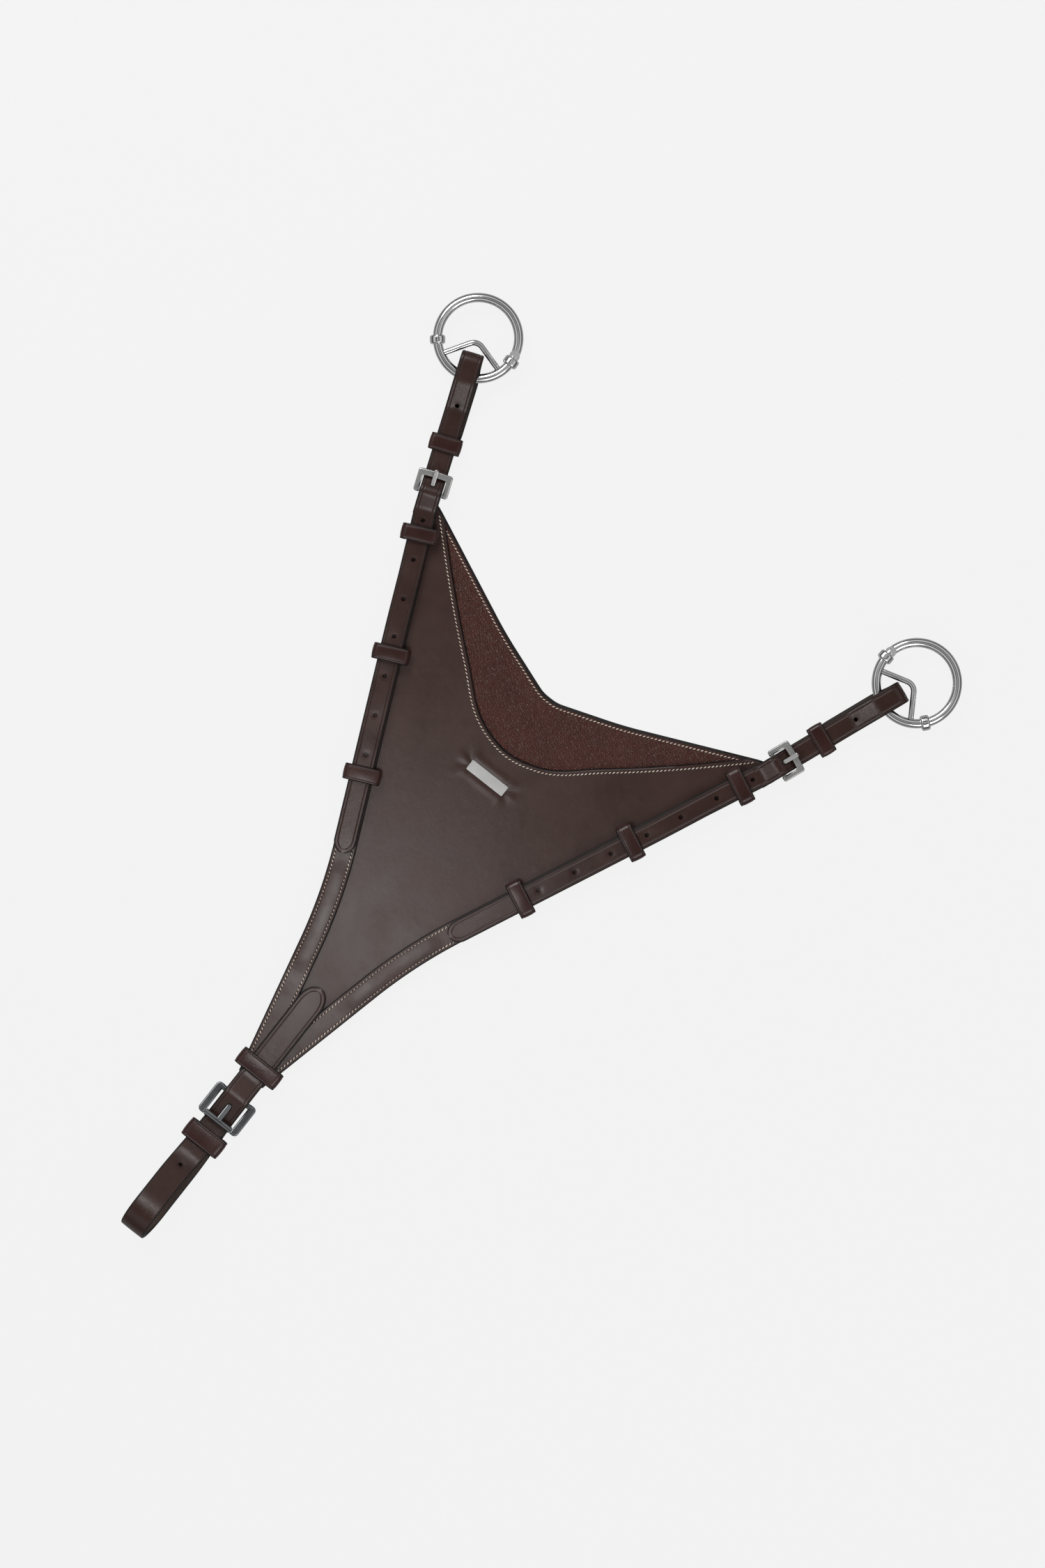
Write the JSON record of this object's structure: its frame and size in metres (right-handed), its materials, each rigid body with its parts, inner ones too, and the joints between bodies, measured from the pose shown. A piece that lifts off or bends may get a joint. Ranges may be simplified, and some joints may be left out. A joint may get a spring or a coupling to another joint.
{
  "type": "bib martingale attachment",
  "caption": "V-shaped leather bib with two buckled arm straps that carry snap rings and a roller-buckled chest strap loop.",
  "frame": {"origin": "middle of the object's footprint, on the plane of the lining's back face", "axes": "+X to the right arm, +Y along the centre line towards the rein rings, +Z out of the front face"},
  "size_m": [0.3722, 0.5507, 0.0286],
  "materials": {
    "panel_leather": "smooth bridle leather, dark brown, waxed",
    "lining_leather": "pebble-grained reddish brown",
    "strap_leather": "smooth dark brown, creased edges",
    "keeper_leather": "dark reddish brown, polished",
    "ring_chrome": "polished",
    "buckle_steel": "satin",
    "chest_buckle_steel": "dark satin",
    "plate_steel": "brushed",
    "spring_steel": "wire"
  },
  "bodies": {
    "bib": {"bib_lining": "lining_leather", "bib_panel": "panel_leather", "blank_plate": "plate_steel", "wide_keeper": "keeper_leather", "chest_billet_tip": "strap_leather", "chest_sewn_end": "strap_leather", "left_edge_strip": "strap_leather", "left_billet": "strap_leather", "left_strap_sewn_end": "strap_leather", "left_chape": "strap_leather", "left_upper_fixed_keeper": "keeper_leather", "left_middle_fixed_keeper": "keeper_leather", "left_lower_fixed_keeper": "keeper_leather", "right_edge_strip": "strap_leather", "right_billet": "strap_leather", "right_strap_sewn_end": "strap_leather", "right_chape": "strap_leather", "right_upper_fixed_keeper": "keeper_leather", "right_middle_fixed_keeper": "keeper_leather", "right_lower_fixed_keeper": "keeper_leather"},
    "chest_strap": {"chest_strap": "strap_leather", "chest_flex": "strap_leather", "chest_chape": "strap_leather"},
    "chest_buckle": {"chest_buckle_frame": "chest_buckle_steel"},
    "chest_prong": {"chest_buckle_prong": "chest_buckle_steel"},
    "chest_roller": {"chest_roller": "chest_buckle_steel"},
    "chest_keeper": {"chest_keeper": "keeper_leather"},
    "left_arm": {"left_ring_loop": "strap_leather", "left_strap_flex": "strap_leather"},
    "left_buckle": {"left_buckle_frame": "buckle_steel"},
    "left_prong": {"left_buckle_prong": "buckle_steel"},
    "left_keeper": {"left_running_keeper": "keeper_leather"},
    "left_ring": {"left_ring_body": "ring_chrome", "left_gate_pin": "ring_chrome", "left_gate_spring": "spring_steel"},
    "left_gate": {"left_ring_gate": "ring_chrome"},
    "right_arm": {"right_ring_loop": "strap_leather", "right_strap_flex": "strap_leather"},
    "right_buckle": {"right_buckle_frame": "buckle_steel"},
    "right_prong": {"right_buckle_prong": "buckle_steel"},
    "right_keeper": {"right_running_keeper": "keeper_leather"},
    "right_ring": {"right_ring_body": "ring_chrome", "right_gate_pin": "ring_chrome", "right_gate_spring": "spring_steel"},
    "right_gate": {"right_ring_gate": "ring_chrome"}
  },
  "joints": [
    {"name": "chest_strap_flex", "type": "hinge", "parent": "bib", "child": "chest_strap", "pos_m": [0, -0.169, 0.005], "axis": [-1, 0, 0], "range_deg": [-45, 45], "deforming": ["chest_flex"]},
    {"name": "chest_buckle_tilt", "type": "hinge", "parent": "chest_strap", "child": "chest_buckle", "pos_m": [0, -0.179, 0.0076], "axis": [-1, 0, 0], "range_deg": [-1.5, 2]},
    {"name": "chest_prong_tilt", "type": "hinge", "parent": "chest_buckle", "child": "chest_prong", "pos_m": [0, -0.179, 0.0076], "axis": [-1, 0, 0], "range_deg": [0, 2.5]},
    {"name": "chest_roller_spin", "type": "hinge", "parent": "chest_buckle", "child": "chest_roller", "pos_m": [0, -0.196, 0.0102], "axis": [1, 0, 0], "continuous": true},
    {"name": "chest_keeper_slide", "type": "slide", "parent": "chest_strap", "child": "chest_keeper", "axis": [0, 1, 0], "range_m": [-0.004, 0.0025]},
    {"name": "left_arm_flex", "type": "hinge", "parent": "bib", "child": "left_arm", "pos_m": [-0.13348, 0.17967, 0.004], "axis": [0.9336, 0.3584, 0], "range_deg": [-60, 60], "deforming": ["left_strap_flex"]},
    {"name": "left_buckle_tilt", "type": "hinge", "parent": "bib", "child": "left_buckle", "pos_m": [-0.12703, 0.16287, 0.00685], "axis": [0.9336, 0.3584, 0], "range_deg": [-2, 2]},
    {"name": "left_prong_tilt", "type": "hinge", "parent": "left_buckle", "child": "left_prong", "pos_m": [-0.12703, 0.16287, 0.00685], "axis": [0.9336, 0.3584, 0], "range_deg": [0, 2.5]},
    {"name": "left_keeper_slide", "type": "slide", "parent": "left_arm", "child": "left_keeper", "axis": [-0.3584, 0.9336, 0], "range_m": [-0.0015, 0.012]},
    {"name": "left_ring_swing", "type": "hinge", "parent": "left_arm", "child": "left_ring", "pos_m": [-0.15183, 0.22747, 0.00755], "axis": [0.9336, 0.3584, 0], "range_deg": [-120, 120]},
    {"name": "left_gate_open", "type": "hinge", "parent": "left_ring", "child": "left_gate", "pos_m": [-0.13739, 0.25407, 0.00755], "axis": [0, 0, 1], "range_deg": [0, 30], "stiffness_Nm_per_rad": 0.03, "springref_deg": -17.19, "deforming": ["left_gate_spring"]},
    {"name": "right_arm_flex", "type": "hinge", "parent": "bib", "child": "right_arm", "pos_m": [0.13348, 0.17967, 0.004], "axis": [0.9336, -0.3584, 0], "range_deg": [-60, 60], "deforming": ["right_strap_flex"]},
    {"name": "right_buckle_tilt", "type": "hinge", "parent": "bib", "child": "right_buckle", "pos_m": [0.12703, 0.16287, 0.00685], "axis": [0.9336, -0.3584, 0], "range_deg": [-2, 2]},
    {"name": "right_prong_tilt", "type": "hinge", "parent": "right_buckle", "child": "right_prong", "pos_m": [0.12703, 0.16287, 0.00685], "axis": [0.9336, -0.3584, 0], "range_deg": [0, 2.5]},
    {"name": "right_keeper_slide", "type": "slide", "parent": "right_arm", "child": "right_keeper", "axis": [0.3584, 0.9336, 0], "range_m": [-0.0015, 0.012]},
    {"name": "right_ring_swing", "type": "hinge", "parent": "right_arm", "child": "right_ring", "pos_m": [0.15183, 0.22747, 0.00755], "axis": [0.9336, -0.3584, 0], "range_deg": [-120, 120]},
    {"name": "right_gate_open", "type": "hinge", "parent": "right_ring", "child": "right_gate", "pos_m": [0.13739, 0.25407, 0.00755], "axis": [0, 0, -1], "range_deg": [0, 30], "stiffness_Nm_per_rad": 0.03, "springref_deg": -17.19, "deforming": ["right_gate_spring"]}
  ]
}
